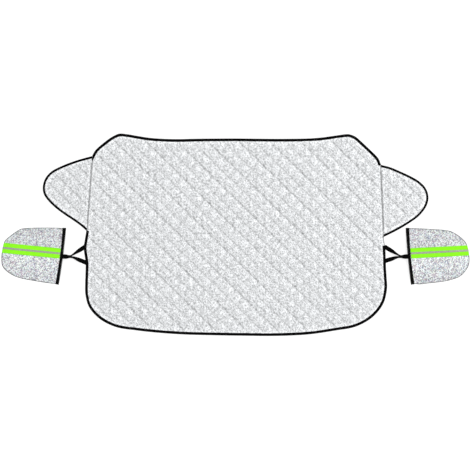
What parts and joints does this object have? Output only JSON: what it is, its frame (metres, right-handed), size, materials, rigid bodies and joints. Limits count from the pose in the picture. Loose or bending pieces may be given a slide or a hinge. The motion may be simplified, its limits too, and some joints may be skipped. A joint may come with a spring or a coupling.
{
  "type": "windshield frost cover",
  "caption": "Quilted foil windshield frost cover with a bound edge, side flaps held in the car doors, and mirror pouches on elastic straps.",
  "frame": {"origin": "on the ground under the middle of the cover as it lies flat on its back", "axes": "+X across the car towards the right mirror pouch, +Y up the windshield towards the roof, +Z out of the foil face"},
  "size_m": [2.2821, 0.9844, 0.0266],
  "materials": {
    "quilted_foil": "aluminised foil laminate, quilted in diamonds, satin silver with fine creases",
    "pouch_foil": "unquilted crinkled foil cloth with a faint pearly speckle",
    "pouch_lining": "plain grey woven backing",
    "black_tape": "matte black woven polyester binding tape",
    "black_webbing": "matte black ribbed elastic webbing",
    "hi_vis_green": "fluorescent yellow-green woven band",
    "reflective_grey": "grey retroreflective strip with a fine bead texture"
  },
  "bodies": {
    "root": {"main_panel": "quilted_foil", "left_door_flap": "quilted_foil", "right_door_flap": "quilted_foil", "top_binding": "black_tape", "bottom_binding": "black_tape", "left_flap_binding": "black_tape", "right_flap_binding": "black_tape", "left_mirror_strap": "black_webbing", "left_mouth_elastic": "black_webbing", "left_pouch_front": "pouch_foil", "left_pouch_back": "pouch_lining", "left_hi_vis_band": "hi_vis_green", "left_reflective_strip": "reflective_grey", "right_mirror_strap": "black_webbing", "right_mouth_elastic": "black_webbing", "right_pouch_front": "pouch_foil", "right_pouch_back": "pouch_lining", "right_hi_vis_band": "hi_vis_green", "right_reflective_strip": "reflective_grey"}
  },
  "joints": []
}
